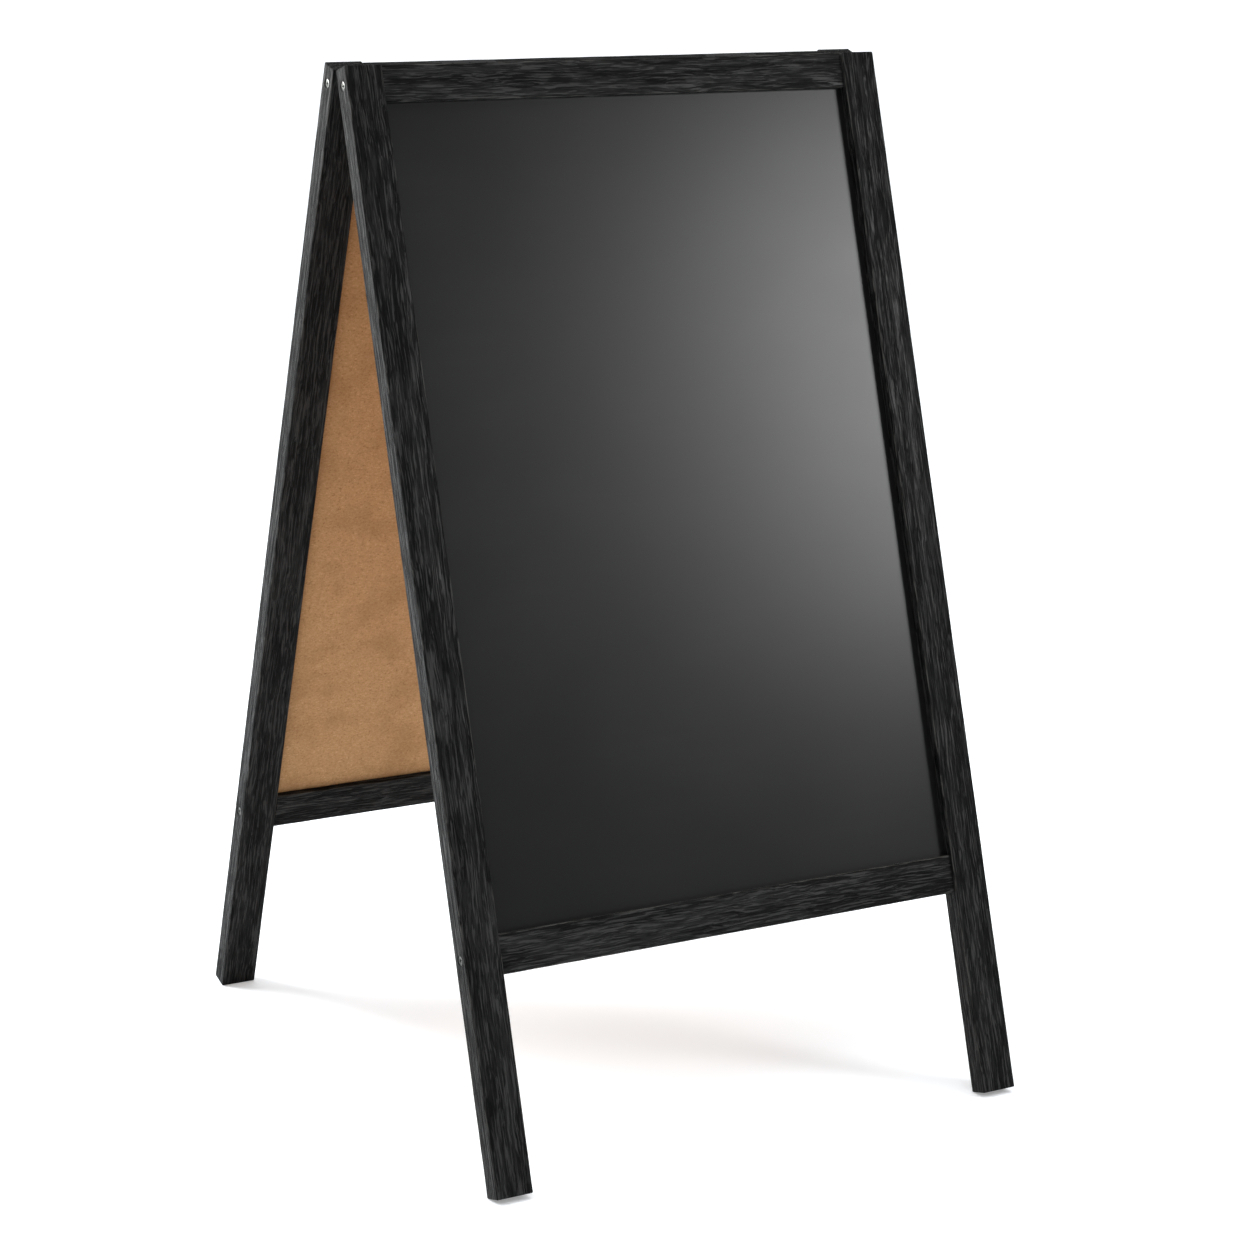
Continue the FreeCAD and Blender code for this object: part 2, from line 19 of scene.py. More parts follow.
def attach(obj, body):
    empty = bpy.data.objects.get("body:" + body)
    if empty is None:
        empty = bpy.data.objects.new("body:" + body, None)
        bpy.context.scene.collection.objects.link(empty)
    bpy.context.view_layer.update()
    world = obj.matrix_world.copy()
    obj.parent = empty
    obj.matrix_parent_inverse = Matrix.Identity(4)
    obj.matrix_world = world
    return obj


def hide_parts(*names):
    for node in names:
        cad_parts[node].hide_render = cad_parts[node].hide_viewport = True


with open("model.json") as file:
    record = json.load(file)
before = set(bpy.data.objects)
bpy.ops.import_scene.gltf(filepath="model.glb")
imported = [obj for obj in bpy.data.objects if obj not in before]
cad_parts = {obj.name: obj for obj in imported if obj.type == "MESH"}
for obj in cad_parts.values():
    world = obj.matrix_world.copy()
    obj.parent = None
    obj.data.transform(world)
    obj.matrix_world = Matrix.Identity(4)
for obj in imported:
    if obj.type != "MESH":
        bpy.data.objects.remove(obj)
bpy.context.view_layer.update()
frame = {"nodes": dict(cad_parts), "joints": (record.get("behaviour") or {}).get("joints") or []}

MM = 0.001
WHITE = (1.0, 1.0, 1.0, 1.0)
FOLD = frame["joints"][0]
HINGE_AXIS = Vector(FOLD["pos_m"])
# Standing open, each board leans by half of the angle that folds them together.
LEAN = math.radians(FOLD["range_deg"][1]) / 2

log = logging.getLogger("menu_board")


# ---------------------------------------------------------------- where things are

class Board(Enum):
    """One of the two hinged boards."""

    FRONT = "front"
    REAR = "rear"

    @property
    def body(self) -> str:
        """Name of the CAD body that the board's pieces ride on."""
        return f"{self.value}_board"

    @property
    def matrix(self) -> Matrix:
        """The board's own frame: origin on the hinge pins, +Z up the legs, writing side to -Y."""
        turn = Matrix.Rotation(math.pi if self is Board.REAR else 0.0, 4, "Z")
        return Matrix.Translation(HINGE_AXIS) @ turn @ Matrix.Rotation(-LEAN, 4, "X")


class Side(Enum):
    """Left or right, as seen from in front of the writing side of the front board."""

    LEFT = "left"
    RIGHT = "right"


class CrossBar(Enum):
    """One of a board's two rails."""

    TOP = "top_rail"
    BOTTOM = "bottom_rail"


class Axis(Enum):
    """An axis of a board's frame."""

    X = 0
    Y = 1
    Z = 2


class Pick(Enum):
    """What edit mode selects: the value is Blender's vertex, edge and face select mode."""

    EDGES = (False, True, False)
    FACES = (False, False, True)


@dataclass(frozen=True)
class Span:
    """A box in a board's own frame, in metres."""

    low: Vector
    high: Vector

    @property
    def size(self) -> Vector:
        """Length along each axis."""
        return self.high - self.low

    @property
    def centre(self) -> Vector:
        """Middle point."""
        return (self.low + self.high) / 2

    def grown(self, x: float = 0.0, y: float = 0.0, z: float = 0.0) -> "Span":
        """The same box with each side moved outwards.

        Args:
            x, y, z: how far both sides move out along that axis, in metres; negative moves in.

        Returns:
            The new box.
        """
        margin = Vector((x, y, z))
        return Span(self.low - margin, self.high + margin)

    @classmethod
    def of_node(cls, node: str, board: Board) -> "Span":
        """Measure a CAD node in a board's frame.

        Args:
            node: name of the CAD node.
            board: the board whose frame is used.

        Returns:
            The node's box in that frame.
        """
        to_board = board.matrix.inverted()
        points = [to_board @ vertex.co for vertex in frame["nodes"][node].data.vertices]
        low = Vector([min(point[axis] for point in points) for axis in range(3)])
        high = Vector([max(point[axis] for point in points) for axis in range(3)])
        return cls(low, high)


# ---------------------------------------------------------------- modelling

def deselect() -> None:
    """Deselect every object, the CAD nodes among them."""
    bpy.ops.object.select_all(action="DESELECT")


def make_active(piece: bpy.types.Object) -> None:
    """Select one object alone and make it the active one.

    Args:
        piece: the object.
    """
    deselect()
    piece.select_set(True)
    bpy.context.view_layer.objects.active = piece


def apply_place(piece: bpy.types.Object) -> None:
    """Move the object's place, turn and scale into its mesh."""
    make_active(piece)
    bpy.ops.object.transform_apply(location=True, rotation=True, scale=True)


def block(name: str, span: Span) -> bpy.types.Object:
    """Add a rectangular block.

    Args:
        name: name of the new object.
        span: the box that it fills.

    Returns:
        The block, its place in its mesh.
    """
    deselect()
    bpy.ops.mesh.primitive_cube_add(size=1, location=span.centre, scale=span.size)
    piece = bpy.context.active_object
    piece.name = piece.data.name = name
    apply_place(piece)
    return piece


def edit(piece: bpy.types.Object, pick: Pick, test: Callable[[list[Vector]], bool]) -> None:
    """Enter edit mode with only some edges or faces selected.

    Args:
        piece: the object to edit.
        pick: whether edges or faces are chosen.
        test: says whether an edge or face is chosen, from its corner points.
    """
    make_active(piece)
    bpy.context.tool_settings.mesh_select_mode = pick.value
    mesh = piece.data
    for group in (mesh.vertices, mesh.edges, mesh.polygons):
        group.foreach_set("select", [False] * len(group))
    for item in mesh.edges if pick is Pick.EDGES else mesh.polygons:
        item.select = test([mesh.vertices[index].co for index in item.vertices])
    bpy.ops.object.mode_set(mode="EDIT")


def leave_edit() -> None:
    """Go back to object mode."""
    bpy.ops.object.mode_set(mode="OBJECT")


def cut_across(piece: bpy.types.Object, axis: Axis, places: Iterable[float]) -> None:
    """Bisect a piece with planes square to an axis, keeping both sides.

    Args:
        piece: the object to cut.
        axis: the axis.
        places: where each plane stands on that axis, in metres.
    """
    normal = Vector([float(index == axis.value) for index in range(3)])
    edit(piece, Pick.FACES, lambda corners: True)
    for place in places:
        bpy.ops.mesh.select_all(action="SELECT")
        bpy.ops.mesh.bisect(plane_co=normal * place, plane_no=normal)
    leave_edit()


def bevel_edges(piece: bpy.types.Object, width: float, segments: int,
                test: Callable[[list[Vector]], bool]) -> None:
    """Round the chosen edges.

    Args:
        piece: the object to shape.
        width: how far the round reaches from the edge, in metres.
        segments: how many faces make the round.
        test: says whether an edge is chosen, from its two ends.
    """
    edit(piece, Pick.EDGES, test)
    bpy.ops.mesh.bevel(offset=width, segments=segments, profile=0.5, affect="EDGES")
    leave_edit()


def finish_with(piece: bpy.types.Object, kind: str, **settings: object) -> None:
    """Add a modifier, set it and apply it.

    Args:
        piece: the object to change.
        kind: the modifier's type.
        settings: its properties.
    """
    make_active(piece)
    modifier = piece.modifiers.new(kind.lower(), kind)
    for key, setting in settings.items():
        setattr(modifier, key, setting)
    bpy.ops.object.modifier_apply(modifier=modifier.name)


def carve(piece: bpy.types.Object, cutter: bpy.types.Object) -> None:
    """Take a cutter's shape out of a piece, and throw the cutter away."""
    finish_with(piece, "BOOLEAN", operation="DIFFERENCE", solver="EXACT", object=cutter)
    bpy.data.objects.remove(cutter)


def weld(piece: bpy.types.Object, extra: bpy.types.Object) -> None:
    """Make one solid of a piece and another, which is used up."""
    finish_with(piece, "BOOLEAN", operation="UNION", solver="EXACT", object=extra)
    bpy.data.objects.remove(extra)


def smooth(piece: bpy.types.Object, angle_deg: float = 35.0) -> None:
    """Shade the piece smooth, with creases where faces meet at more than the angle."""
    make_active(piece)
    bpy.ops.object.shade_smooth_by_angle(angle=math.radians(angle_deg))


def copy_of(piece: bpy.types.Object, name: str) -> bpy.types.Object:
    """Copy a piece.

    Args:
        piece: the object to copy.
        name: name of the copy.

    Returns:
        The copy, with its own mesh.
    """
    twin = piece.copy()
    twin.data = piece.data.copy()
    twin.name = twin.data.name = name
    bpy.context.scene.collection.objects.link(twin)
    return twin


def join(pieces: list[bpy.types.Object], name: str) -> bpy.types.Object:
    """Join several objects into one.

    Args:
        pieces: the objects, whose places are in their meshes.
        name: name of the joined object.

    Returns:
        The joined object.
    """
    make_active(pieces[0])
    for piece in pieces[1:]:
        piece.select_set(True)
    bpy.ops.object.join()
    whole = bpy.context.active_object
    whole.name = whole.data.name = name
    return whole


def settle(piece: bpy.types.Object, board: Board, node: str) -> None:
    """Swing a finished piece to where its board stands, and let it stand for its CAD node.

    Args:
        piece: the piece, modelled in the board's own frame.
        board: the board that it rides on.
        node: the CAD node that it replaces.
    """
    piece.matrix_world = board.matrix
    apply_place(piece)
    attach(piece, board.body)
    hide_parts(node)
    log.info("%s: %d faces, for %s", piece.name, len(piece.data.polygons), node)


# ---------------------------------------------------------------- materials

def linear(hex_colour: str) -> tuple[float, float, float, float]:
    """Turn an sRGB colour such as #1b1b1a into linear red, green, blue and alpha.

    Args:
        hex_colour: the colour, six hex digits after a hash.

    Returns:
        The four linear components.
    """
    parts = [int(hex_colour[start:start + 2], 16) / 255 for start in (1, 3, 5)]
    light = [part / 12.92 if part <= 0.04045 else ((part + 0.055) / 1.055) ** 2.4 for part in parts]
    return light[0], light[1], light[2], 1.0


class Shader:
    """A material or world node tree that is built up node by node."""

    def __init__(self, tree: bpy.types.NodeTree) -> None:
        """Start from an empty tree."""
        self.tree = tree
        tree.nodes.clear()

    def add(self, kind: str, inputs: dict[str | int, object] | None = None,
            **settings: object) -> bpy.types.Node:
        """Add a node with its settings and links.

        Args:
            kind: the node's type without its ShaderNode prefix.
            inputs: what goes into each input, by name or number: a value, a node's output socket, or
                a node, which stands for its first output in use.
            settings: the node's own properties.

        Returns:
            The new node.
        """
        node = self.tree.nodes.new(f"ShaderNode{kind}")
        for key, setting in settings.items():
            setattr(node, key, setting)
        for key, source in (inputs or {}).items():
            if isinstance(source, bpy.types.Node):
                source = next(output for output in source.outputs if output.enabled)
            if isinstance(source, bpy.types.NodeSocket):
                self.tree.links.new(source, node.inputs[key])
            else:
                node.inputs[key].default_value = source
        return node

    def mottle(self, place: object, size_mm: tuple[float, float, float], detail: float = 2.0,
               roughness: float = 0.5) -> bpy.types.Node:
        """Soft spots of a real size.

        Args:
            place: the coordinates, in metres.
            size_mm: how large a spot is along each axis, in millimetres.
            detail: how many finer octaves are added.
            roughness: how strong the finer octaves are.

        Returns:
            The node that gives the spots' strength, between 0 and 1.
        """
        scale = tuple(1 / (size * MM) for size in size_mm)
        stretched = self.add("Mapping", {"Vector": place, "Scale": scale})
        return self.add("TexNoise", {"Vector": stretched, "Scale": 1.0, "Detail": detail,
                                     "Roughness": roughness})

    def close(self, looks: dict[str, object], height: object, relief_mm: float,
              strength: float = 1.0) -> None:
        """Close the tree with a surface whose relief follows a height.

        Args:
            looks: the surface's inputs, such as its colour and roughness.
            height: the node that says how far each point stands out.
            relief_mm: how far a height of 1 stands out, in millimetres.
            strength: how strongly the relief shows.
        """
        bump = self.add("Bump", {"Strength": strength, "Distance": relief_mm * MM, "Height": height})
        surface = self.add("BsdfPrincipled", looks | {"Normal": bump})
        self.add("OutputMaterial", {"Surface": surface})


def new_material(name: str) -> tuple[bpy.types.Material, Shader]:
    """Start a material.

    Args:
        name: what the real material and its finish are.

    Returns:
        The material and its empty node tree.
    """
    material = bpy.data.materials.new(name)
    material.use_nodes = True
    return material, Shader(material.node_tree)


def own_place(shader: Shader, home: Matrix) -> bpy.types.Node:
    """Coordinates in a piece's own frame, from its Object coordinates.

    Args:
        shader: the tree to build in.
        home: the piece's own frame in the row frame.

    Returns:
        The node that gives the coordinates, in metres.
    """
    place = shader.add("TexCoord").outputs["Object"]
    inputs = {"Vector": place, "Location": tuple(home.translation), "Rotation": tuple(home.to_euler("XYZ"))}
    return shader.add("Mapping", inputs, vector_type="TEXTURE")


@dataclass(frozen=True)
class BlackStainedAsh:
    """Ash with a black water stain, wire brushed: open pores stay blacker than the hard late wood.

    To the eye: streaks a few millimetres apart that run with the length of each bar, arching now and
    then into cathedral figure, with a dull satin sheen on the ridges and none in the pores.
    """

    pore: str = "#010101"
    early_wood: str = "#060606"
    late_wood: str = "#373736"
    # This colour lightens the long edges: in part stain rubbed through, in part a painted highlight line
    # along the eased edges.
    edge_wear_and_highlight_colour: str = "#6b6a64"
    ring_mm: float = 5.2
    # Pores are really about 0.3 mm wide and fibres finer still. Both are drawn four or more times as
    # wide, as the rows and bundles that they make, so that they show.
    pore_mm: tuple[float, float, float] = (1.25, 1.25, 24.0)
    fibre_mm: tuple[float, float, float] = (1.5, 1.5, 42.0)
    # The rings wander slowly and ripple, the fibres drift with the ripple, and the stain takes in clouds.
    sway_mm: tuple[float, float, float] = (45.0, 45.0, 170.0)
    ripple_mm: tuple[float, float, float] = (14.0, 14.0, 48.0)
    cloud_mm: tuple[float, float, float] = (26.0, 26.0, 120.0)
    sway_reach_mm: float = 14.0
    ripple_reach_mm: float = 2.2
    drift_mm: float = 6.0
    tree_shift: float = 7.0
    ring_share: float = 0.22
    fibre_share: float = 0.78
    cloud_share: float = 0.25
    pore_depth: float = 1.1
    late_cover: float = 0.4
    ridge: float = 0.6
    # The lightened edge band: how far it reaches in and how strongly it shows. It is partly edge wear and
    # partly a painted highlight.
    wear_and_highlight_mm: float = 1.3
    wear_and_highlight_share: float = 0.6
    relief_mm: float = 0.6
    roughness: tuple[float, float] = (0.38, 0.72)
    specular: float = 0.12

    def make(self, name: str, home: Matrix, size: Vector, heart: Vector) -> bpy.types.Material:
        """Make the material of one bar.

        Args:
            name: name of the bar.
            home: the bar's own frame in the row frame: centre of the bar, +Z along the grain.
            size: the bar's size in that frame, in metres.
            heart: where the tree's heart lay, in that frame, in metres; z is how fast it leans away.

        Returns:
            The material.
        """
        material, shader = new_material(f"black_stained_ash_{name}")
        place = own_place(shader, home)
        # Each bar is from another part of the tree, so its pattern is shifted by its own heart.
        shifted = shader.add("VectorMath", {0: place, 1: heart * self.tree_shift}, operation="ADD")
        sway = shader.mottle(shifted, self.sway_mm)
        ripple = shader.mottle(shifted, self.ripple_mm)
        patch = shader.mottle(shifted, self.cloud_mm, 3, 0.55)
        off_middle = shader.add("Math", {0: ripple, 1: 0.5}, operation="SUBTRACT")
        drift = shader.add("Math", {0: off_middle, 1: self.drift_mm * MM}, operation="MULTIPLY")
        swung = shader.add("CombineXYZ", {0: drift, 1: drift})
        grain = shader.add("VectorMath", {0: shifted, 1: swung}, operation="ADD")
        fibre = shader.mottle(grain, self.fibre_mm, 3, 0.62)
        pores = shader.mottle(grain, self.pore_mm)

        parts = shader.add("SeparateXYZ", {0: place}).outputs
        across_x = shader.add("Math", {0: parts[0], 1: heart.x}, operation="SUBTRACT")
        across_y = shader.add("Math", {0: parts[1], 1: heart.y}, operation="SUBTRACT")
        leant = shader.add("Math", {0: parts[2], 1: heart.z, 2: across_x}, operation="MULTIPLY_ADD")
        outward = shader.add("CombineXYZ", {0: leant, 1: across_y})
        radius = shader.add("VectorMath", {0: outward}, operation="LENGTH")
        for wave, reach_mm in ((sway, self.sway_reach_mm), (ripple, self.ripple_reach_mm)):
            radius = shader.add("Math", {0: wave, 1: reach_mm * MM, 2: radius},
                                operation="MULTIPLY_ADD")
        turns = shader.add("Math", {0: radius, 1: self.ring_mm * MM}, operation="DIVIDE")
        ring = shader.add("Math", {0: turns}, operation="FRACT")

        rise, fall, bundle, hollow, cloud, fleck = (
            shader.add("MapRange", {"Value": source, "From Min": low, "From Max": high},
                       interpolation_type="SMOOTHSTEP")
            for source, low, high in ((ring, 0.15, 0.75), (ring, 1.0, 0.86), (fibre, 0.45, 0.6),
                                      (pores, 0.5, 0.42), (patch, 0.4, 0.75), (fibre, 0.42, 0.6)))
        late = shader.add("Math", {0: rise, 1: fall}, operation="MULTIPLY")
        cover = shader.add("Math", {0: late, 1: -self.late_cover, 2: self.pore_depth},
                           operation="MULTIPLY_ADD")
        open_pore = shader.add("Math", {0: hollow, 1: cover}, operation="MULTIPLY")
        bundles = shader.add("Math", {0: bundle, 1: self.fibre_share}, operation="MULTIPLY")
        streak = shader.add("Math", {0: late, 1: self.ring_share, 2: bundles}, operation="MULTIPLY_ADD")
        clouded = shader.add("Math", {0: cloud, 1: self.cloud_share}, operation="MULTIPLY")
        unstained = shader.add("Math", {0: open_pore, 1: 1.0}, operation="MINIMUM")
        # Lighter long edges: worn stain, and also a painted highlight line along them.
        edge_wear_and_highlight = self.paint_edge_wear_and_highlight(shader, parts, size, fleck)
        wood: object = linear(self.early_wood)
        for share, colour in ((streak, self.late_wood), (clouded, self.late_wood),
                              (unstained, self.pore), (edge_wear_and_highlight, self.edge_wear_and_highlight_colour)):
            wood = shader.add("Mix", {0: share, 6: wood, 7: linear(colour)}, data_type="RGBA")

        ridges = shader.add("Math", {0: streak, 1: self.ridge}, operation="MULTIPLY")
        height = shader.add("Math", {0: ridges, 1: open_pore}, operation="SUBTRACT")
        gloss = shader.add("MapRange", {"Value": streak, "To Min": self.roughness[1],
                                        "To Max": self.roughness[0]})
        shader.close({"Base Color": wood, "Roughness": gloss, "Specular IOR Level": self.specular},
                     height, self.relief_mm)
        return material

    def paint_edge_wear_and_highlight(self, shader: Shader, parts: list[bpy.types.NodeSocket], size: Vector,
             fleck: bpy.types.Node) -> bpy.types.Node:
        """How much the long edges are lightened, only on the long edges and there in flecks: partly stain
        rubbed through, partly a painted highlight line.

        Args:
            shader: the tree to build in.
            parts: the x, y and z sockets in the bar's own frame.
            size: the bar's size.
            fleck: flecks along the grain, which break the lightened edge line up.

        Returns:
            The node that gives a share from 0 to 1.
        """
        edge_wear_and_highlight = shader.add("Math", {0: fleck, 1: self.wear_and_highlight_share}, operation="MULTIPLY")
        for axis in (0, 1):
            distance = shader.add("Math", {0: parts[axis]}, operation="ABSOLUTE")
            edge = size[axis] / 2
            near = shader.add("MapRange", {"Value": distance, "From Min": edge - self.wear_and_highlight_mm * MM,
                                           "From Max": edge}, interpolation_type="SMOOTHSTEP")
            edge_wear_and_highlight = shader.add("Math", {0: edge_wear_and_highlight, 1: near}, operation="MULTIPLY")
        return edge_wear_and_highlight


@dataclass(frozen=True)
class ChalkboardPaint:
    """Chalkboard paint rolled on hardboard: flat dark grey, with the fine stipple of a foam roller.

    To the eye: one even field that takes a broad soft glow from a window and shows no edges in it.
    """

    colour: str = "#151515"
    dust: str = "#1c1c1d"
    dust_share: float = 0.3
    stipple_mm: float = 0.9
    haze_mm: tuple[float, float, float] = (110.0, 110.0, 70.0)
    wipe_mm: tuple[float, float, float] = (140.0, 140.0, 9.0)
    relief_mm: float = 0.02
    roughness: tuple[float, float] = (0.29, 0.33)
    specular: float = 0.37

    def make(self, name: str, home: Matrix) -> bpy.types.Material:
        """Make the writing side's material.

        Args:
            name: name of the board.
            home: the board's frame in the row frame.

        Returns:
            The material.
        """
        material, shader = new_material(f"chalkboard_paint_{name}")
        place = own_place(shader, home)
        stipple = shader.mottle(place, (self.stipple_mm,) * 3, 2, 0.6)
        haze = shader.mottle(place, self.haze_mm, 3)
        wipes = shader.mottle(place, self.wipe_mm)
        hazy, wiped = (shader.add("MapRange", {"Value": source, "From Min": low, "From Max": high},
                                  interpolation_type="SMOOTHSTEP")
                       for source, low, high in ((haze, 0.4, 0.75), (wipes, 0.3, 0.8)))
        dusty = shader.add("Math", {0: hazy, 1: wiped}, operation="MULTIPLY")
        share = shader.add("Math", {0: dusty, 1: self.dust_share}, operation="MULTIPLY")
        colour = shader.add("Mix", {0: share, 6: linear(self.colour), 7: linear(self.dust)},
                            data_type="RGBA")
        gloss = shader.add("MapRange", {"Value": haze, "To Min": self.roughness[0],
                                        "To Max": self.roughness[1]})
        shader.close({"Base Color": colour, "Roughness": gloss, "Specular IOR Level": self.specular},
                     stipple, self.relief_mm)
        return material


@dataclass(frozen=True)
class Hardboard:
    """Pressed wood fibre, unsealed: warm brown, mottled by fibre bundles of a millimetre or two.

    To the eye: a matt, slightly furry tan with darker and lighter flecks and slow clouds.
    """

    dark: str = "#8f663e"
    middle: str = "#b88e62"
    light: str = "#d0a87f"
    fleck_mm: tuple[float, float, float] = (2.56, 1.6, 1.6)
    fibre_mm: tuple[float, float, float] = (0.5, 0.5, 1.4)
    cloud_mm: float = 38.0
    cloud_share: float = 0.35
    warp_mm: float = 6.0
    warp_reach_mm: float = 2.0
    relief_mm: float = 0.06
    roughness: float = 0.82
    specular: float = 0.25

    def make(self, name: str, home: Matrix) -> bpy.types.Material:
        """Make the bare hardboard's material.

        Args:
            name: name of the board.
            home: the board's frame in the row frame.

        Returns:
            The material.
        """
        material, shader = new_material(f"bare_hardboard_{name}")
        place = own_place(shader, home)
        warp = shader.add("TexNoise", {"Vector": place, "Scale": 1 / (self.warp_mm * MM), "Detail": 1.0})
        reach = (self.warp_reach_mm * MM,) * 3
        bent = shader.add("VectorMath", {0: warp.outputs["Color"], 1: reach, 2: place},
                          operation="MULTIPLY_ADD")
        flecks = shader.mottle(bent, self.fleck_mm, 4, 0.65)
        fibres = shader.mottle(bent, self.fibre_mm, 2, 0.6)
        clouds = shader.mottle(place, (self.cloud_mm,) * 3, 3)
        tone = shader.add("Mix", {0: 0.4, 2: flecks, 3: fibres}, data_type="FLOAT")
        darker, lighter, clouded = (
            shader.add("MapRange", {"Value": source, "From Min": low, "From Max": high, "To Max": most},
                       interpolation_type="SMOOTHSTEP")
            for source, low, high, most in ((tone, 0.3, 0.5, 1.0), (tone, 0.5, 0.7, 1.0),
                                            (clouds, 0.45, 0.7, self.cloud_share)))
        colour: object = linear(self.dark)
        for share, following in ((darker, self.middle), (lighter, self.light), (clouded, self.dark)):
            colour = shader.add("Mix", {0: share, 6: colour, 7: linear(following)}, data_type="RGBA")
        shader.close({"Base Color": colour, "Roughness": self.roughness,
                      "Specular IOR Level": self.specular}, tone, self.relief_mm)
        return material


@dataclass(frozen=True)
class MetalFinish:
    """Steel with a finish on it, worn in specks where it is handled.

    To the eye: bare steel is bright and streaked by drawing, and paint is a dull skin with a fine
    orange-peel on it that shows steel where it is chipped.
    """

    name: str
    colour: str
    under: str
    metallic: float
    roughness: tuple[float, float]
    speck_mm: float
    worn_share: float
    relief_mm: float
    relief_strength: float = 0.6

    def make(self) -> bpy.types.Material:
        """Make the material.

        Returns:
            The material, which every piece with this finish shares.
        """
        material, shader = new_material(self.name)
        place = shader.add("TexCoord").outputs["Object"]
        grain = shader.mottle(place, (self.speck_mm * 6, self.speck_mm, self.speck_mm), 3, 0.6)
        specks = shader.mottle(place, (self.speck_mm * 2,) * 3, 4, 0.7)
        share = shader.add("MapRange", {"Value": specks, "From Min": 0.62, "From Max": 0.72,
                                        "To Max": self.worn_share}, interpolation_type="SMOOTHSTEP")
        colour = shader.add("Mix", {0: share, 6: linear(self.colour), 7: linear(self.under)},
                            data_type="RGBA")
        gloss = shader.add("MapRange", {"Value": grain, "To Min": self.roughness[0],
                                        "To Max": self.roughness[1]})
        shader.close({"Base Color": colour, "Metallic": self.metallic, "Roughness": gloss}, grain,
                     self.relief_mm, self.relief_strength)
        return material


# Zinc on a steel screw, dulled by the stain brushed over it: dim grey with a soft cloudy shine.
ZINC_PLATE = MetalFinish("zinc_plated_steel", colour="#666764", under="#2c2b29", metallic=1.0,
                         roughness=(0.2, 0.42), speck_mm=0.6, worn_share=0.8, relief_mm=0.02)
# Black enamel on stamped steel: satin skin, grey where a screwdriver or the other leaf has rubbed.
BLACK_ENAMEL = MetalFinish("black_enamelled_steel", colour="#141415", under="#5a5a58", metallic=0.0,
                           roughness=(0.34, 0.52), speck_mm=0.8, worn_share=0.5, relief_mm=0.02)
# Drawn steel pin: bright, with fine lines along its length.
DRAWN_STEEL = MetalFinish("bright_drawn_steel", colour="#b9b9b6", under="#77756f", metallic=1.0,
                          roughness=(0.22, 0.38), speck_mm=0.35, worn_share=0.5, relief_mm=0.01)


# ---------------------------------------------------------------- the wooden frame

ASH = BlackStainedAsh()
# Points closer than this are taken as one place.
TOUCHING = 0.001 * MM
# Cutters run past the wood by this much, so that they leave no skin.
OVERSHOOT = 1.0 * MM
SEAT_SIDES = 32
SCREW_SLOT = "zinc_screw"
HINGE_SLOT = "black_hinge_steel"


@dataclass
class Bar:
    """One bar of ash in a board's frame: what a stile and a rail have in common."""

    board: Board
    node: str
    span: Span
    along: Axis
    seed: int
    ends_show: bool
    eased: float = 1.2 * MM
    round_faces: int = 4
    section_step: float = 14 * MM
    unevenness: float = 0.11 * MM

    @property
    def home(self) -> Matrix:
        """The bar's own frame in the row frame: its centre, with +Z along its length."""
        turn = Matrix.Rotation(math.pi / 2 if self.along is Axis.X else 0.0, 4, "Y")
        return self.board.matrix @ Matrix.Translation(self.span.centre) @ turn

    @property
    def own_size(self) -> Vector:
        """The bar's size in its own frame: face width, thickness and length."""
        size = self.span.size
        return Vector((size.z, size.y, size.x)) if self.along is Axis.X else size

    def plane(self) -> bpy.types.Object:
        """Add the planed bar with its long edges eased, and its ends too where they show.

        Returns:
            The bar.
        """
        piece = block(f"{self.node}_wood", self.span)
        axis = self.along.value

        def is_eased(ends: list[Vector]) -> bool:
            """Whether an edge is eased."""
            lengthways = abs((ends[1] - ends[0])[axis]) > self.span.size[axis] / 2
            return lengthways or self.ends_show

        bevel_edges(piece, self.eased, self.round_faces, is_eased)
        return piece

    def weather(self, piece: bpy.types.Object) -> None:
        """Divide the bar along its length and let its edges wander slightly, as brushed wood does.

        Args:
            piece: the bar, with all its cuts.
        """
        axis = self.along.value
        count = int(self.span.size[axis] / self.section_step)
        step = self.span.size[axis] / count
        places = [self.span.low[axis] + step * index for index in range(1, count)]
        cut_across(piece, self.along, places)
        edit(piece, Pick.FACES, lambda corners: True)
        bpy.ops.mesh.select_all(action="SELECT")
        bpy.ops.transform.shrink_fatten(value=-self.unevenness)
        bpy.ops.transform.vertex_random(offset=self.unevenness, uniform=0.0, normal=1.0, seed=self.seed)
        leave_edit()
        smooth(piece)

    def dress(self, piece: bpy.types.Object) -> None:
        """Stain the bar, cut from its own place in the tree, and settle it on its board.

        Args:
            piece: the bar.
        """
        draw = random.Random(self.seed)
        heart = Vector((draw.uniform(-14, 14) * MM, draw.uniform(28, 46) * MM,
                        draw.uniform(-0.012, 0.012)))
        piece.data.materials.clear()
        piece.data.materials.append(ASH.make(self.node, self.home, self.own_size, heart))
        settle(piece, self.board, self.node)


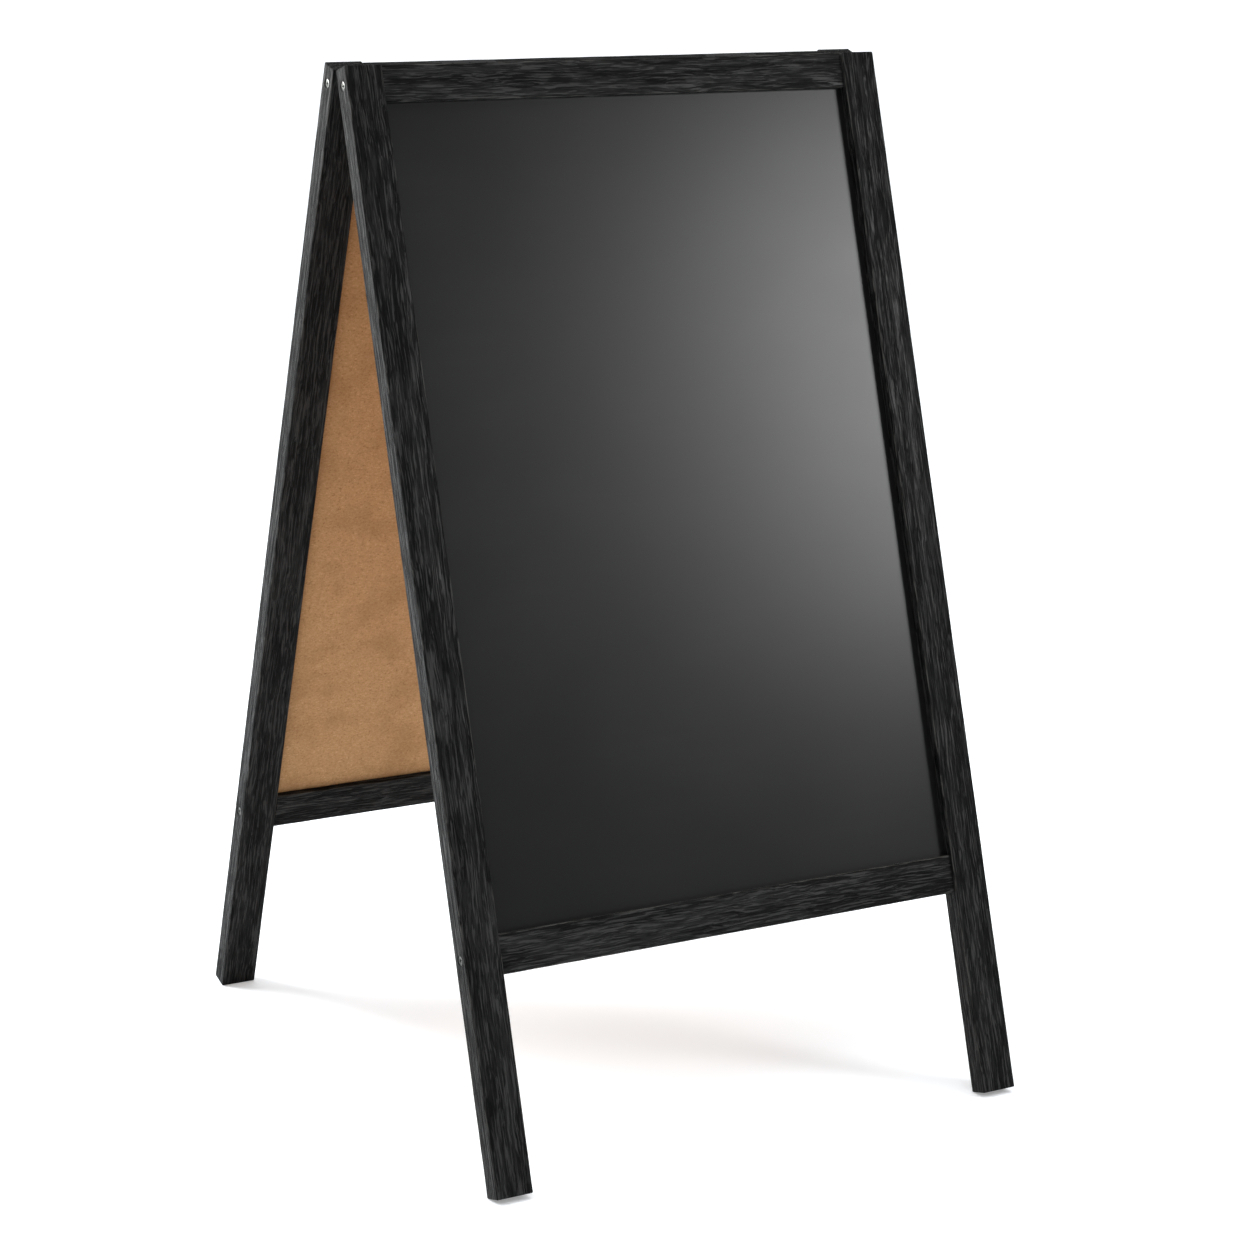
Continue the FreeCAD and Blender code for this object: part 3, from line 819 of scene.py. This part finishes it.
@dataclass
class Joinery:
    """The sizes that a board's bars share, read from its CAD nodes."""

    board: Board
    panel: Span
    screws: Span
    stile_left: Span
    stile_right: Span
    top_rail: Span
    bottom_rail: Span
    edge_room: float = 1.0 * MM
    groove_slack: float = 0.05 * MM
    shoulder: float = 5.0 * MM
    head_radius: float = 4.0 * MM
    shank_radius: float = 2.15 * MM

    @classmethod
    def of(cls, board: Board) -> "Joinery":
        """Read a board's sizes from the frame.

        Args:
            board: the board to measure.

        Returns:
            Its sizes.
        """
        def span(part: str) -> Span:
            """Measure one of the board's nodes."""
            return Span.of_node(f"{board.value}_{part}", board)

        return cls(board, span("chalkboard"), span("frame_screws"), span("left_stile"),
                   span("right_stile"), span("top_rail"), span("bottom_rail"))

    @property
    def groove(self) -> Span:
        """The room that the panel's edges take in the bars around it."""
        room = self.edge_room
        return self.panel.grown(room, self.groove_slack, room)

    @property
    def sink(self) -> float:
        """How far a screw's head lies below the stile's edge."""
        outer = max(self.stile_left.high.x, self.stile_right.high.x)
        return outer - self.screws.high.x

    @property
    def screw_heights(self) -> tuple[float, float]:
        """Where the frame screws stand on the board: in the middle of each rail."""
        return self.top_rail.centre.z, self.bottom_rail.centre.z

    @property
    def screw_depth(self) -> float:
        """Where the frame screws stand between the board's faces."""
        return self.stile_left.centre.y

    @property
    def rail_ends(self) -> tuple[float, float]:
        """Where the rails' shoulders meet the stiles."""
        inner = min(abs(self.stile_left.low.x), abs(self.stile_left.high.x))
        return -inner, inner


@dataclass
class Stile:
    """An upright: groove for the panel on its inner edge, two screw seats in its outer edge."""

    joinery: Joinery
    side: Side
    seed: int

    def build(self) -> None:
        """Model the stile, stain it and settle it."""
        board = self.joinery.board
        node = f"{board.value}_{self.side.value}_stile"
        span = Span.of_node(node, board)
        bar = Bar(board, node, span, Axis.Z, self.seed, ends_show=True)
        piece = bar.plane()
        outward = math.copysign(1.0, span.centre.x)
        self.cut_groove(piece)
        for height in self.joinery.screw_heights:
            self.bore_seat(piece, span, outward, height)
        bar.weather(piece)
        bar.dress(piece)

    def cut_groove(self, piece: bpy.types.Object) -> None:
        """Plough the panel's groove, stopped where the rails' tongues end.

        Args:
            piece: the stile.
        """
        groove = self.joinery.groove
        top = self.joinery.top_rail.high.z - self.joinery.shoulder
        bottom = self.joinery.bottom_rail.low.z + self.joinery.shoulder
        slot = Span(Vector((groove.low.x, groove.low.y, bottom)),
                    Vector((groove.high.x, groove.high.y, top)))
        carve(piece, block("groove_cutter", slot))

    def bore_seat(self, piece: bpy.types.Object, span: Span, outward: float, height: float) -> None:
        """Bore a countersunk seat from the outer edge and drill the shank hole.

        Args:
            piece: the stile.
            span: its box.
            outward: -1 or 1, the way to its outer edge along X.
            height: where the seat stands on the board.
        """
        joinery = self.joinery
        outer = span.high.x if outward > 0 else span.low.x
        mouth = Vector((outer, joinery.screw_depth, height))
        cone_depth = joinery.head_radius - joinery.shank_radius
        reach = OVERSHOOT
        parts = [(joinery.head_radius, joinery.head_radius, joinery.sink + reach, -reach),
                 (joinery.head_radius, joinery.shank_radius, cone_depth, joinery.sink),
                 (joinery.shank_radius, joinery.shank_radius, span.size.x + 2 * reach, -reach)]
        for near, far, depth, start in parts:
            deselect()
            middle = mouth - Vector((outward * (start + depth / 2), 0, 0))
            bpy.ops.mesh.primitive_cone_add(vertices=SEAT_SIDES, radius1=near, radius2=far, depth=depth,
                                            location=middle, rotation=(0, -outward * math.pi / 2, 0))
            cutter = bpy.context.active_object
            apply_place(cutter)
            carve(piece, cutter)


@dataclass
class Rail:
    """A cross bar: tongues at its ends, a groove along its inner edge and, at the top, hinge gains."""

    joinery: Joinery
    part: CrossBar
    seed: int
    gains: tuple[Span, ...] = ()

    def build(self) -> None:
        """Model the rail, stain it and settle it."""
        joinery = self.joinery
        node = f"{joinery.board.value}_{self.part.value}"
        whole = Span.of_node(node, joinery.board)
        left, right = joinery.rail_ends
        span = Span(Vector((left, whole.low.y, whole.low.z)), Vector((right, whole.high.y, whole.high.z)))
        bar = Bar(joinery.board, node, span, Axis.X, self.seed, ends_show=False)
        piece = bar.plane()
        self.grow_tongues(piece, span, whole)
        along = joinery.groove.grown(x=joinery.shoulder)
        past = 0.1 * right
        groove = Span(Vector((left - past, along.low.y, max(along.low.z, span.low.z - OVERSHOOT))),
                      Vector((right + past, along.high.y, min(along.high.z, span.high.z + OVERSHOOT))))
        carve(piece, block("groove_cutter", groove))
        for gain in self.gains:
            carve(piece, block("gain_cutter", gain))
        bar.weather(piece)
        bar.dress(piece)

    def grow_tongues(self, piece: bpy.types.Object, span: Span, whole: Span) -> None:
        """Draw a stub tongue out of each end, as thick as the panel.

        Args:
            piece: the rail.
            span: the rail between its shoulders.
            whole: the rail with its tongues.
        """
        joinery = self.joinery
        panel = joinery.panel
        is_top = self.part is CrossBar.TOP
        low = joinery.groove.high.z if is_top else span.low.z + joinery.shoulder
        high = span.high.z - joinery.shoulder if is_top else joinery.groove.low.z
        cut_across(piece, Axis.Y, (panel.low.y, panel.high.y))
        cut_across(piece, Axis.Z, (low, high))
        reach = whole.high.x - span.high.x
        for end in (-1, 1):
            place = span.high.x * end

            def on_tongue(corners: list[Vector]) -> bool:
                """Whether a face is where the tongue starts on this end of the rail.

                Args:
                    corners: the face's corners.

                Returns:
                    True if it is.
                """
                middle = sum(corners, Vector()) / len(corners)
                flat = all(abs(corner.x - place) < TOUCHING for corner in corners)
                inside = panel.low.y < middle.y < panel.high.y and low < middle.z < high
                return flat and inside

            edit(piece, Pick.FACES, on_tongue)
            bpy.ops.mesh.extrude_region_move(TRANSFORM_OT_translate={"value": (reach * end, 0, 0)})
            leave_edit()


@dataclass
class Chalkboard:
    """The panel: hardboard with eased edges and a skin of chalkboard paint on its writing side."""

    joinery: Joinery
    eased: float = 0.4 * MM
    bare_margin: float = 1.5 * MM
    paint_film: float = 0.15 * MM

    def build(self) -> None:
        """Model the panel, dress its two sides and settle it."""
        board = self.joinery.board
        node = f"{board.value}_chalkboard"
        span = self.joinery.panel
        bare = Span(span.low + Vector((0, self.paint_film, 0)), span.high)
        piece = block(f"{node}_panel", bare)
        bevel_edges(piece, self.eased, 2, lambda ends: True)

        def is_front(corners: list[Vector]) -> bool:
            """Whether a face is the writing side."""
            return all(abs(corner.y - bare.low.y) < TOUCHING for corner in corners)

        edit(piece, Pick.FACES, is_front)
        bpy.ops.mesh.inset(thickness=self.bare_margin, depth=0)
        bpy.ops.mesh.extrude_region_move(TRANSFORM_OT_translate={"value": (0, -self.paint_film, 0)})
        leave_edit()
        smooth(piece)
        self.dress(piece, span)
        settle(piece, board, node)

    def dress(self, piece: bpy.types.Object, span: Span) -> None:
        """Paint the writing side and leave the rest bare.

        Args:
            piece: the panel.
            span: its box.
        """
        board = self.joinery.board
        piece.data.materials.append(Hardboard().make(board.value, board.matrix))
        piece.data.materials.append(ChalkboardPaint().make(board.value, board.matrix))
        for face in piece.data.polygons:
            corners = [piece.data.vertices[index].co for index in face.vertices]
            painted = all(corner.y < span.low.y + self.paint_film / 2 for corner in corners)
            face.material_index = int(painted)


# ---------------------------------------------------------------- screws

@dataclass
class WoodScrew:
    """A countersunk screw with a cross recess and a rolled thread, head at the origin, point down -Z."""

    name: str
    head: float
    shank: float
    core: float
    thread_start: float
    length: float
    pitch: float
    rim: float = 0.25 * MM
    eased: float = 0.12 * MM
    step_down: float = 0.2 * MM
    point: float = 0.12 * MM
    sides: int = 28
    turn_steps: int = 20

    def model(self) -> bpy.types.Object:
        """Model one screw.

        Returns:
            The screw, to be copied for each place it is driven.
        """
        deselect()
        bpy.ops.mesh.primitive_cylinder_add(vertices=self.sides, radius=self.head / 2, depth=self.rim,
                                            location=(0, 0, -self.rim / 2))
        piece = bpy.context.active_object
        piece.name = piece.data.name = self.name
        apply_place(piece)
        cone = (self.head - self.shank) / 2
        tip = self.core * 1.4
        threaded = self.length - self.thread_start - tip - self.step_down
        # Each step: how far down, and the next radius.
        steps = [(cone - self.rim, self.shank / 2), (self.thread_start - cone, self.shank / 2),
                 (self.step_down, self.core / 2), (threaded, self.core / 2), (tip, self.point)]
        self.draw_down(piece, steps)
        bevel_edges(piece, self.eased, 2, self.is_rim)
        weld(piece, self.thread(tip))
        for turn in (0.0, math.pi / 2):
            carve(piece, self.recess_arm(turn))
        smooth(piece, 40)
        return piece

    def is_rim(self, ends: list[Vector]) -> bool:
        """Whether an edge runs round the head's top."""
        return all(abs(end.z) < TOUCHING for end in ends)

    def draw_down(self, piece: bpy.types.Object, steps: list[tuple[float, float]]) -> None:
        """Extrude the lowest face step by step down the screw.

        Args:
            piece: the head to start from.
            steps: depth and next radius of each step, in metres.
        """
        radius = self.head / 2
        bottom = -self.rim
        edit(piece, Pick.FACES,
             lambda corners: all(abs(corner.z - bottom) < TOUCHING for corner in corners))
        for depth, following in steps:
            bpy.ops.mesh.extrude_region_move(TRANSFORM_OT_translate={"value": (0, 0, -depth)})
            share = following / radius
            bpy.ops.transform.resize(value=(share, share, 1))
            radius = following
        leave_edit()

    def thread(self, tip: float) -> bpy.types.Object:
        """Wind a ridge round the core, three-cornered in section and closed at its ends.

        Args:
            tip: how long the screw's point is.

        Returns:
            The ridge.
        """
        deselect()
        height = (self.shank - self.core) / 2 + 0.25 * MM
        start = -self.thread_start - 0.8 * MM
        turns = int((self.length - self.thread_start - tip) / self.pitch) - 1
        bpy.ops.mesh.primitive_circle_add(vertices=3, radius=height,
                                          location=(self.core / 2, 0, start - turns * self.pitch),
                                          rotation=(math.pi / 2, math.pi / 2, 0))
        ridge = bpy.context.active_object
        apply_place(ridge)
        finish_with(ridge, "SCREW", screw_offset=self.pitch, iterations=turns,
                    steps=self.turn_steps, render_steps=self.turn_steps, angle=2 * math.pi)
        edit(ridge, Pick.EDGES, lambda ends: True)
        bpy.ops.mesh.select_all(action="SELECT")
        bpy.ops.mesh.fill_holes(sides=0)
        bpy.ops.mesh.select_all(action="SELECT")
        bpy.ops.mesh.normals_make_consistent(inside=False)
        leave_edit()
        return ridge

    def recess_arm(self, turn: float) -> bpy.types.Object:
        """Make a cutter for one bar of the cross recess, narrower at its floor.

        Args:
            turn: how far the bar is turned about the screw.

        Returns:
            The cutter.
        """
        depth = (self.head - self.shank) / 2 * 0.9
        half = Vector((self.head * 0.33, self.head * 0.1, depth))
        arm = block("recess_cutter", Span(-half, half))
        edit(arm, Pick.FACES, lambda corners: all(corner.z < 0 for corner in corners))
        bpy.ops.transform.resize(value=(0.45, 0.7, 1))
        leave_edit()
        arm.matrix_world = Matrix.Rotation(turn, 4, "Z")
        apply_place(arm)
        return arm


@dataclass
class ScrewSet:
    """All the screws of one kind in a board, driven in their places and joined as one piece."""

    board: Board
    node: str
    pattern: bpy.types.Object
    places: list[Matrix]
    finish: bpy.types.Material
    slot: str

    def build(self) -> None:
        """Copy the screw to each place, join the copies and settle them."""
        screws = []
        for index, place in enumerate(self.places, start=1):
            screw = copy_of(self.pattern, f"{self.node}_{index}")
            screw.matrix_world = place
            apply_place(screw)
            screws.append(screw)
        whole = join(screws, f"{self.node}_set")
        whole.data.materials.clear()
        whole.data.materials.append(self.finish)
        settle(whole, self.board, self.node)


@dataclass
class Fasteners:
    """The wood screws of both boards: zinc in the frames, black in the hinges."""

    zinc: bpy.types.Material
    enamel: bpy.types.Material
    seed: int = 11

    def build(self, joineries: list[Joinery]) -> None:
        """Model one screw of each kind and drive it everywhere.

        Args:
            joineries: the boards' shared sizes.
        """
        long_screw = WoodScrew("frame_screw", head=8 * MM, shank=4 * MM, core=3.2 * MM,
                               thread_start=25.4 * MM, length=50 * MM, pitch=1.8 * MM).model()
        short_screw = WoodScrew("hinge_screw", head=4.4 * MM, shank=2.8 * MM, core=2.2 * MM,
                                thread_start=1.2 * MM, length=12 * MM, pitch=1.1 * MM,
                                rim=0.15 * MM).model()
        draw = random.Random(self.seed)
        for joinery in joineries:
            board = joinery.board
            ScrewSet(board, f"{board.value}_frame_screws", long_screw,
                     self.frame_places(joinery, draw), self.zinc, SCREW_SLOT).build()
            ScrewSet(board, f"{board.value}_hinge_screws", short_screw,
                     self.hinge_places(board, draw), self.enamel, HINGE_SLOT).build()
        for pattern in (long_screw, short_screw):
            bpy.data.objects.remove(pattern)

    def frame_places(self, joinery: Joinery, draw: random.Random) -> list[Matrix]:
        """Where each frame screw is, driven in from the outer edges.

        Args:
            joinery: the board's shared sizes.
            draw: gives the turn at which each recess stops.

        Returns:
            A place for each screw.
        """
        places = []
        for outward in (-1, 1):
            for height in joinery.screw_heights:
                spot = Vector((outward * joinery.screws.high.x, joinery.screw_depth, height))
                lie = Matrix.Rotation(outward * math.pi / 2, 4, "Y")
                spin = Matrix.Rotation(draw.uniform(0, math.pi), 4, "Z")
                places.append(Matrix.Translation(spot) @ lie @ spin)
        return places

    def hinge_places(self, board: Board, draw: random.Random) -> list[Matrix]:
        """Where each hinge screw is: three along each leaf, evenly spaced.

        Args:
            board: the board.
            draw: gives the turn at which each recess stops.

        Returns:
            A place for each screw.
        """
        group = Span.of_node(f"{board.value}_hinge_screws", board)
        leaf = Span.of_node(f"{board.value}_left_hinge_leaf", board)
        head_radius = group.size.y / 2
        reach = group.high.x - head_radius - abs(leaf.centre.x)
        places = []
        for side in (-1, 1):
            for step in (-1, 0, 1):
                x = side * abs(leaf.centre.x) + step * reach
                spot = Vector((x, group.centre.y, group.high.z))
                places.append(Matrix.Translation(spot)
                              @ Matrix.Rotation(draw.uniform(0, math.pi), 4, "Z"))
        return places


# ---------------------------------------------------------------- hinges

@dataclass
class Hinges:
    """The two butt hinges, whose leaves and pins keep their CAD shape."""

    enamel: bpy.types.Material
    steel: bpy.types.Material

    def dress(self) -> None:
        """Give the leaves black enamel and the pins bright steel."""
        for side in Side:
            for board in Board:
                self.assign(f"{board.value}_{side.value}_hinge_leaf", self.enamel)
            self.assign(f"{side.value}_hinge_pin", self.steel)

    def assign(self, node: str, finish: bpy.types.Material) -> None:
        """Put one finish on a CAD node.

        Args:
            node: name of the node.
            finish: its material.
        """
        piece = frame["nodes"][node]
        piece.data.materials.clear()
        piece.data.materials.append(finish)
        log.info("%s: %s", node, finish.name)


# ---------------------------------------------------------------- one board

@dataclass
class FramedBoard:
    """One framed chalkboard: two stiles, two rails and the panel they hold."""

    joinery: Joinery
    seed: int

    def build(self) -> None:
        """Build every wooden piece of the board and its panel."""
        for offset, side in enumerate(Side):
            Stile(self.joinery, side, self.seed + offset).build()
        Rail(self.joinery, CrossBar.TOP, self.seed + 2, self.gains()).build()
        Rail(self.joinery, CrossBar.BOTTOM, self.seed + 3).build()
        Chalkboard(self.joinery).build()

    def gains(self) -> tuple[Span, ...]:
        """The shallow pockets in the top rail that let the hinge leaves in flush.

        Returns:
            A box for each pocket.
        """
        board = self.joinery.board
        rail = self.joinery.top_rail
        found = []
        for side in Side:
            leaf = Span.of_node(f"{board.value}_{side.value}_hinge_leaf", board)
            high = Vector((leaf.high.x, rail.high.y + OVERSHOOT, rail.high.z + OVERSHOOT))
            found.append(Span(leaf.low, high))
        return tuple(found)


# ---------------------------------------------------------------- studio

@dataclass
class Studio:
    """A pale floor, a soft room and large soft lights.

    The floor and the room look brighter to the camera than the light that they give.
    """

    floor_colour: str = "#eef2f6"
    floor_size: float = 160.0
    zenith: float = 3.5
    horizon: float = 0.04
    # The glow begins and is full where a direction's height is this much of its length.
    glow_heights: tuple[float, float] = (0.72, 0.88)
    floor_roughness: float = 0.9
    floor_specular: float = 0.2
    lift: float = 0.3

    def build(self) -> None:
        """Lay the floor, light the room and set up the camera."""
        self.lay_floor()
        self.light_room()
        for light in SOFT_LIGHTS:
            light.hang()
        CAMERA.place()
        bpy.context.scene.view_settings.view_transform = "Standard"

    def lay_floor(self) -> None:
        """Add the floor, a seamless sheet of pale paper that runs past the view on all sides."""
        deselect()
        bpy.ops.mesh.primitive_plane_add(size=self.floor_size, location=(0, 0, 0))
        floor = bpy.context.active_object
        floor.name = "floor"
        material, shader = new_material("pale_paper")
        plain, lifted = (shader.add("BsdfPrincipled", {"Base Color": linear(self.floor_colour),
                                                       "Roughness": self.floor_roughness,
                                                       "Specular IOR Level": self.floor_specular,
                                                       "Emission Color": WHITE,
                                                       "Emission Strength": strength})
                         for strength in (0.0, self.lift))
        seen = shader.add("LightPath").outputs["Is Camera Ray"]
        both = shader.add("MixShader", {0: seen, 1: plain, 2: lifted})
        shader.add("OutputMaterial", {"Surface": both})
        floor.data.materials.append(material)

    def light_room(self) -> None:
        """Make a room that is bright overhead and dim at eye level, and looks pale itself."""
        world = bpy.data.worlds.new("studio_room")
        bpy.context.scene.world = world
        world.use_nodes = True
        shader = Shader(world.node_tree)
        direction = shader.add("TexCoord").outputs["Generated"]
        height = shader.add("SeparateXYZ", {0: direction}).outputs[2]
        low, high = self.glow_heights
        strength = shader.add("MapRange", {"Value": height, "From Min": low, "From Max": high,
                                           "To Min": self.horizon, "To Max": self.zenith},
                              interpolation_type="SMOOTHSTEP")
        glow = shader.add("Background", {"Strength": strength})
        pale = shader.add("Background", {"Color": WHITE, "Strength": 1.0})
        seen = shader.add("LightPath").outputs["Is Camera Ray"]
        both = shader.add("MixShader", {0: seen, 1: glow, 2: pale})
        shader.add("OutputWorld", {"Surface": both})


@dataclass(frozen=True)
class SoftLight:
    """A rectangular softbox that hangs at a bearing from the object and faces it."""

    name: str
    bearing_deg: float
    elevation_deg: float
    distance: float
    width: float
    height: float
    radiance: float
    aim: tuple[float, float, float]

    def hang(self) -> None:
        """Add the light. Bearing 0 is in front of the board, and 90 is to its right."""
        bearing = math.radians(self.bearing_deg)
        elevation = math.radians(self.elevation_deg)
        away = Vector((math.sin(bearing) * math.cos(elevation), -math.cos(bearing) * math.cos(elevation),
                       math.sin(elevation)))
        deselect()
        bpy.ops.object.light_add(type="AREA", location=Vector(self.aim) + away * self.distance)
        light = bpy.context.active_object
        light.name = self.name
        light.data.shape = "RECTANGLE"
        light.data.size = self.width
        light.data.size_y = self.height
        light.data.energy = self.radiance * math.pi * self.width * self.height
        light.rotation_mode = "QUATERNION"
        light.rotation_quaternion = (-away).to_track_quat("-Z", "Y")
        light.visible_camera = False


@dataclass(frozen=True)
class Viewpoint:
    """A camera by its place and the way it looks."""

    place_at: tuple[float, float, float]
    yaw_deg: float
    pitch_deg: float
    roll_deg: float
    lens_mm: float
    far: float = 400.0

    def place(self) -> None:
        """Add the camera and make it the scene's. Yaw turns from +Y towards +X, pitch looks down."""
        data = bpy.data.cameras.new("camera")
        data.lens = self.lens_mm
        data.clip_end = self.far
        camera = bpy.data.objects.new("camera", data)
        bpy.context.scene.collection.objects.link(camera)
        turn = (Matrix.Rotation(math.radians(-self.yaw_deg), 4, "Z")
                @ Matrix.Rotation(math.radians(90 - self.pitch_deg), 4, "X")
                @ Matrix.Rotation(math.radians(self.roll_deg), 4, "Z"))
        camera.matrix_world = Matrix.Translation(Vector(self.place_at)) @ turn
        bpy.context.scene.camera = camera


SOFT_LIGHTS = (
    SoftLight("key_softbox", bearing_deg=44, elevation_deg=19.6, distance=2.0, width=0.5, height=0.7,
              radiance=15.4, aim=(0.0, 0.0, 0.5)),
    SoftLight("left_rim_softbox", bearing_deg=224, elevation_deg=14, distance=3.0, width=1.4,
              height=1.6, radiance=20.0, aim=(0.0, 0.0, 0.7)),
)
BOARD_SEEDS = (21, 61)
CAMERA = Viewpoint(place_at=(-1.3354, -2.3694, 1.0627), yaw_deg=29.855, pitch_deg=14.044,
                   roll_deg=0.772, lens_mm=91.34)


def main() -> None:
    """Build the boards, the screws, the hinges and the studio."""
    logging.basicConfig(level=logging.INFO, format="%(name)s: %(message)s")
    joineries = [Joinery.of(board) for board in Board]
    for joinery, seed in zip(joineries, BOARD_SEEDS):
        FramedBoard(joinery, seed).build()
    enamel = BLACK_ENAMEL.make()
    Fasteners(ZINC_PLATE.make(), enamel).build(joineries)
    Hinges(enamel, DRAWN_STEEL.make()).dress()
    Studio().build()


if __name__ == "__main__":
    main()
